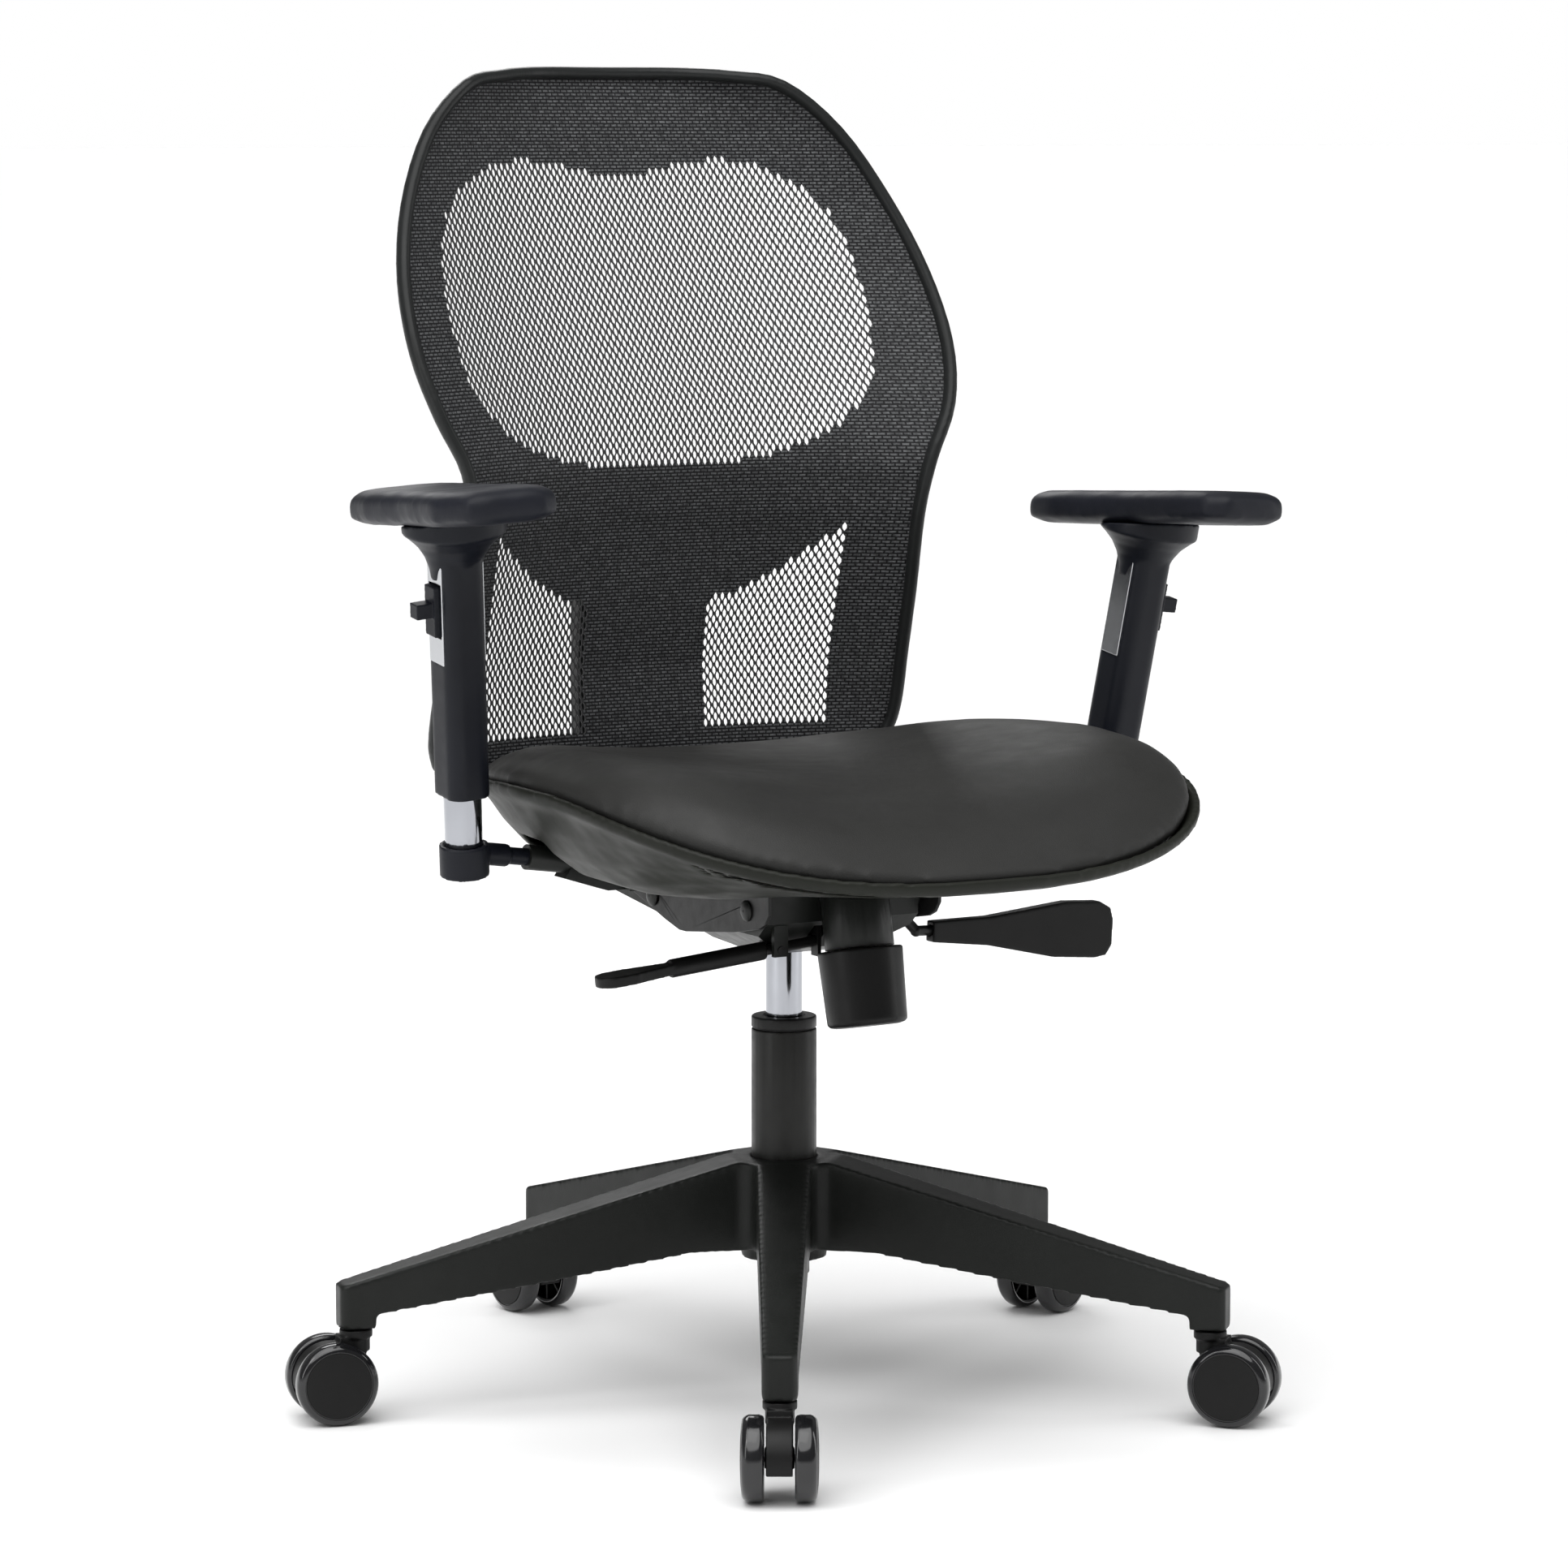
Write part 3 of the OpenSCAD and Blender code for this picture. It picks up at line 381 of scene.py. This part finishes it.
def remeshed(node, name, voxel, passes):
    """A copy of a CAD node with its hard edges rounded, as a moulding has them."""
    obj = new_object(name, NODES[node].data.copy(), BODY_OF[node], SLOT_OF[node])
    add_modifier(obj, "WELD", merge_threshold=WELD_REACH)
    add_modifier(obj, "REMESH", mode="VOXEL", voxel_size=voxel)
    add_modifier(obj, "SMOOTH", factor=0.5, iterations=passes)
    bake(obj)
    smooth(obj.data)
    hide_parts(node)


def lathe(profile, steps, place, axis):
    """Turns (radius, along) points around an axis. Returns the points and faces."""
    to_world = Matrix.Translation(place) @ Vector(axis).to_track_quat("Z", "Y").to_matrix().to_4x4()
    points, faces, rings = [], [], []
    for r, z in profile:
        if r == 0:
            rings.append([len(points)])
            points.append(to_world @ Vector((0, 0, z)))
            continue
        rings.append(list(range(len(points), len(points) + steps)))
        for i in range(steps):
            a = 2 * math.pi * i / steps
            points.append(to_world @ Vector((r * math.cos(a), r * math.sin(a), z)))
    for low, high in zip(rings, rings[1:]):
        for i in range(steps):
            j = (i + 1) % steps
            if len(low) == 1:
                faces.append((low[0], high[j], high[i]))
            elif len(high) == 1:
                faces.append((low[i], low[j], high[0]))
            else:
                faces.append((low[i], low[j], high[j], high[i]))
    return points, faces


def dress_cad_nodes():
    """Every CAD node that stays in view gets eased edges and its own finish."""
    for name, obj in NODES.items():
        obj.data.materials.clear()
        obj.data.materials.append(MATERIALS[SLOT_OF[name]])
        add_modifier(obj, "WELD", merge_threshold=WELD_REACH)
        add_modifier(obj, "BEVEL", width=0.0006, segments=2, limit_method="ANGLE",
                     angle_limit=math.radians(32), harden_normals=True)


# ------------------------------------------------------------------ casters

WHEEL_INNER, WHEEL_OUTER = 0.011, 0.028  # where the wheel's two faces are along its axle
WHEEL_STEPS = 72
GLOSS_RINGS = range(4, 17)  # the bands of the profile below that form the tyre
SPOKES = 8
BOX = ((0, 1, 3, 2), (4, 6, 7, 5), (0, 4, 5, 1), (2, 3, 7, 6), (0, 2, 6, 4), (1, 5, 7, 3))


def wheel(caster, side):
    """One turned wheel: a dished inner face with spokes, a glossy tyre, a crowned cover."""
    node = f"caster_{caster}_wheel_{side}"
    joint = JOINTS[f"caster_{caster}_{side}_spin"]
    place, axis = Vector(joint["pos_m"]), Vector(joint["axis"]).normalized()
    low, high = (Vector(c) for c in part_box(node))
    if ((low + high) / 2 - place).dot(axis) < 0:
        axis = -axis
    r = high.z - place.z
    inner, outer = WHEEL_INNER, WHEEL_OUTER
    profile = [
        (0.0031, inner), (0.0075, inner), (0.0078, inner + 0.0004), (0.0078, outer - 0.0055),
        (r - 0.0058, outer - 0.0055), (r - 0.0055, inner + 0.0012), (r - 0.0046, inner + 0.0003),
        (r - 0.0030, inner), (r - 0.0016, inner + 0.0005), (r - 0.0006, inner + 0.0016),
        (r, inner + 0.0036), (r, outer - 0.0062), (r - 0.0006, outer - 0.0044),
        (r - 0.0019, outer - 0.0026), (r - 0.0037, outer - 0.0014), (r - 0.0050, outer - 0.0011),
        (r - 0.0053, outer - 0.0017), (r - 0.0058, outer - 0.0017), (r - 0.0061, outer - 0.0010),
        (r * 0.55, outer - 0.0003), (r * 0.25, outer), (0, outer),
    ]
    points, faces = lathe(profile, WHEEL_STEPS, place, axis)
    turned = len(faces)
    slots = [int(i // WHEEL_STEPS in GLOSS_RINGS) for i in range(turned)]
    turn = axis.to_track_quat("Z", "Y").to_matrix().to_4x4()
    for k in range(SPOKES):
        angle = k * 2 * math.pi / SPOKES
        spin = Matrix.Translation(place) @ turn @ Matrix.Rotation(angle, 4, "Z")
        base = len(points)
        for x in (0.0070, r - 0.0052):
            for y in (-0.0009, 0.0009):
                for z in (outer - 0.0140, outer - 0.0050):
                    points.append(spin @ Vector((x, y, z)))
        faces += [tuple(base + i for i in f) for f in BOX]
        slots += [0] * len(BOX)
    mesh = mesh_from(node, points, faces)
    obj = new_object(f"{node}_turned", mesh, BODY_OF[node], SLOT_OF[node],
                     MATERIALS["wheel_plastic"], WHEEL_GLOSS)
    mesh.polygons.foreach_set("material_index", slots)
    smooth(mesh)
    mesh.polygons.foreach_set("use_smooth", [i < turned for i in range(len(faces))])
    mesh.set_sharp_from_angle(angle=math.radians(40))
    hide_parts(node)


# ------------------------------------------------------------------ seat


CUSHION_VOXEL = 0.006
DRAWN_IN = 0.003  # how far the crown starts below the CAD surface
SWELL_CAP = 0.0045  # the most that the simulation may move a point
PRESSURE = 3.5
SIM_FRAMES = 20
CROWN_UP, PINNED_UP = 0.35, 0.02  # how far up a point faces, to be on the crown or held still


def read_vectors(mesh, kind):
    flat = np.empty(len(mesh.vertices) * 3)
    mesh.vertices.foreach_get(kind, flat)
    return flat.reshape(-1, 3)


def group_points(obj, name, chosen):
    obj.vertex_groups.new(name=name).add([int(i) for i in np.nonzero(chosen)[0]], 1.0, "REPLACE")


def swell(obj, start):
    """Blows the cover up as pressed cloth, and keeps each point within the cap of its start."""
    scene = bpy.context.scene
    s = obj.modifiers.new("cloth", "CLOTH").settings
    s.use_pressure, s.uniform_pressure_force = True, PRESSURE
    s.vertex_group_mass = "pins"
    s.tension_stiffness = s.compression_stiffness = 18
    s.shear_stiffness, s.bending_stiffness = 8, 0.6
    s.quality, s.mass = 5, 0.35
    s.effector_weights.gravity = 0
    for f in range(1, SIM_FRAMES + 1):
        scene.frame_set(f)
    bake(obj)
    scene.frame_set(1)
    move = read_vectors(obj.data, "co") - start
    length = np.linalg.norm(move, axis=1, keepdims=True)
    move *= np.minimum(1, SWELL_CAP / np.maximum(length, 1e-9))
    obj.data.vertices.foreach_set("co", (start + move).ravel())
    obj.data.update()


def cushion():
    """The padded seat: the CAD crown, drawn in a little, then swollen by cloth simulation."""
    node = "seat_cushion"
    obj = new_object("cushion_cover", NODES[node].data.copy(), BODY_OF[node], SLOT_OF[node])
    add_modifier(obj, "WELD", merge_threshold=WELD_REACH)
    add_modifier(obj, "REMESH", mode="VOXEL", voxel_size=CUSHION_VOXEL)
    add_modifier(obj, "SMOOTH", factor=0.5, iterations=4)
    bake(obj)
    normals = read_vectors(obj.data, "normal")
    up = normals[:, 2]
    group_points(obj, "crown", up > CROWN_UP)
    start = read_vectors(obj.data, "co")
    start -= DRAWN_IN * normals * np.clip(up, 0, 1)[:, None]
    obj.data.vertices.foreach_set("co", start.ravel())
    group_points(obj, "pins", up < PINNED_UP)
    swell(obj, start)
    add_modifier(obj, "SMOOTH", factor=0.5, iterations=40, vertex_group="crown")
    add_modifier(obj, "SMOOTH", factor=0.5, iterations=8)
    add_modifier(obj, "SUBSURF", levels=1, render_levels=1)
    bake(obj)
    smooth(obj.data)
    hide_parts(node)


# ------------------------------------------------------------------ woven back

CELL_W = 0.0058  # from one strand crossing to the next, across
CELL_H = 0.0046  # from one row of openings to the next
HOLE_W = 0.00145  # half of an opening's width
HOLE_H = 0.0037  # half of an opening's height
HOLE_SIDE = 0.0013  # half of an opening's straight side
HOLE_LEAN = 0.07  # how far an opening leans over, as a share of its height
SIDE = CELL_H - (HOLE_H + 0.0004)  # half of a cell's upright side
YARN_T = 0.0009
WINDOW_MID, WINDOW_UP, WINDOW_DOWN = 0.817, 0.128, 0.118  # the wide window's middle and reaches
WINDOW_HALF_W = 0.186
WINDOW_DIP, DIP_W = 0.155, 0.065  # the dip in the middle of its top edge: share and width
LOW_WINDOW_IN, LOW_WINDOW_OUT = 0.054, 0.154
LOW_WINDOW_Z, LOW_WINDOW_TOP, LOW_WINDOW_RISE = 0.490, 0.592, 0.058


def in_window(x, z):
    """True where the mesh is open: a wide window above, and two low ones beside the spine."""
    ax = abs(x)
    if z > WINDOW_MID:
        reach, power = WINDOW_UP * (1 - WINDOW_DIP * math.exp(-((x / DIP_W) ** 2))), 3.1
    else:
        reach, power = WINDOW_DOWN, 2.6
    up = (z - WINDOW_MID) / reach
    if (ax / WINDOW_HALF_W) ** power + abs(up) ** power < 1:
        return True
    across = (ax - LOW_WINDOW_IN) / (LOW_WINDOW_OUT - LOW_WINDOW_IN)
    if not 0 < across < 1:
        return False
    return LOW_WINDOW_Z < z < LOW_WINDOW_TOP + LOW_WINDOW_RISE * across**1.6


def weave():
    """The back's mesh as real strands: a lattice of openings, closed outside the windows."""
    source = NODES["back_mesh"].data
    tree = BVHTree.FromPolygons(
        [v.co for v in source.vertices], [p.vertices for p in source.polygons]
    )
    low, high = (Vector(c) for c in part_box("back_mesh"))
    ahead = Vector((0, 1, 0))

    def surface(x, z):
        """The point of the CAD mesh's front at x, z, or None beside it."""
        return tree.ray_cast(Vector((x, low.y - 0.1, z)), ahead)[0]

    points, index, faces, slots = [], {}, [], []

    def vertex(x, z, cx, cz):
        """A cell corner shared by its neighbours, drawn in towards cx, cz at the rim."""
        key = (round(x, 5), round(z, 5))
        if key not in index:
            hit, f = surface(x, z), 1.0
            while hit is None and f > 0.05:
                f -= 0.12
                hit = surface(cx + (x - cx) * f, cz + (z - cz) * f)
            index[key] = len(points)
            points.append(hit if hit is not None else surface(cx, cz))
        return index[key]

    def hexagon(half_w, tip, side):
        right = [(half_w, side), (half_w, -side)]
        left = [(-half_w, -side), (-half_w, side)]
        return [(0, tip), *right, (0, -tip), *left]

    ring = hexagon(CELL_W / 2, CELL_H - SIDE, SIDE)
    hole = hexagon(HOLE_W, HOLE_H, HOLE_SIDE)
    rows = int((high.z - low.z) / CELL_H) + 1
    cols = int(high.x / CELL_W) + 2
    for j in range(rows):
        z = low.z + (j + 0.5) * CELL_H
        for i in range(-cols, cols + 1):
            x = (i + 0.5 * (j % 2)) * CELL_W
            corners = [(x + a, z + b) for a, b in ring]
            held = [at for at in [(x, z), *corners] if surface(*at)]
            if not held:
                continue
            outer = [vertex(*at, *held[0]) for at in corners]
            if not in_window(x, z):
                faces.append(outer)
                slots.append(1)
                continue
            inner = []
            for a, b in hole:
                inner.append(len(points))
                points.append(surface(x + a - HOLE_LEAN * b, z + b) or surface(x, z))
            for k in range(6):
                n = (k + 1) % 6
                faces.append((outer[k], outer[n], inner[n], inner[k]))
                slots.append(0)
    mesh = mesh_from("woven_back", points, faces)
    obj = new_object("woven_back", mesh, BODY_OF["back_mesh"], "woven_mesh",
                     MATERIALS["woven_mesh"], DENSE_WEAVE)
    mesh.polygons.foreach_set("material_index", slots)
    add_modifier(obj, "SOLIDIFY", thickness=YARN_T, offset=0)
    bake(obj)
    smooth(obj.data)
    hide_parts("back_mesh")


# ------------------------------------------------------------------ assembly

make_camera()
make_studio()
dress_cad_nodes()
# Each call names the node, the new piece, its voxel size and its smoothing passes.
for n in CASTERS:
    remeshed(f"caster_{n}_hood", f"caster_{n}_hood_moulded", 0.0009, 3)
    for s in SIDES:
        wheel(n, s)
remeshed("base_star", "star_moulded", 0.0020, 5)
remeshed("tension_knob", "knob_moulded", 0.0010, 4)
remeshed("height_lever_handle", "height_handle_moulded", 0.0008, 8)
remeshed("tilt_lever_handle", "tilt_handle_moulded", 0.0009, 8)
remeshed("seat_shell", "shell_moulded", 0.0022, 14)
remeshed("back_frame", "frame_moulded", 0.0014, 4)
remeshed("back_spine", "spine_moulded", 0.0016, 5)
for s in SIDES:
    remeshed(f"{s}_arm_sleeve", f"{s}_sleeve_moulded", 0.0012, 5)
    remeshed(f"{s}_arm_clamp", f"{s}_clamp_moulded", 0.0010, 4)
    remeshed(f"{s}_arm_button", f"{s}_button_moulded", 0.0005, 4)
    remeshed(f"{s}_arm_pad", f"{s}_pad_moulded", 0.0022, 34)
cushion()
weave()
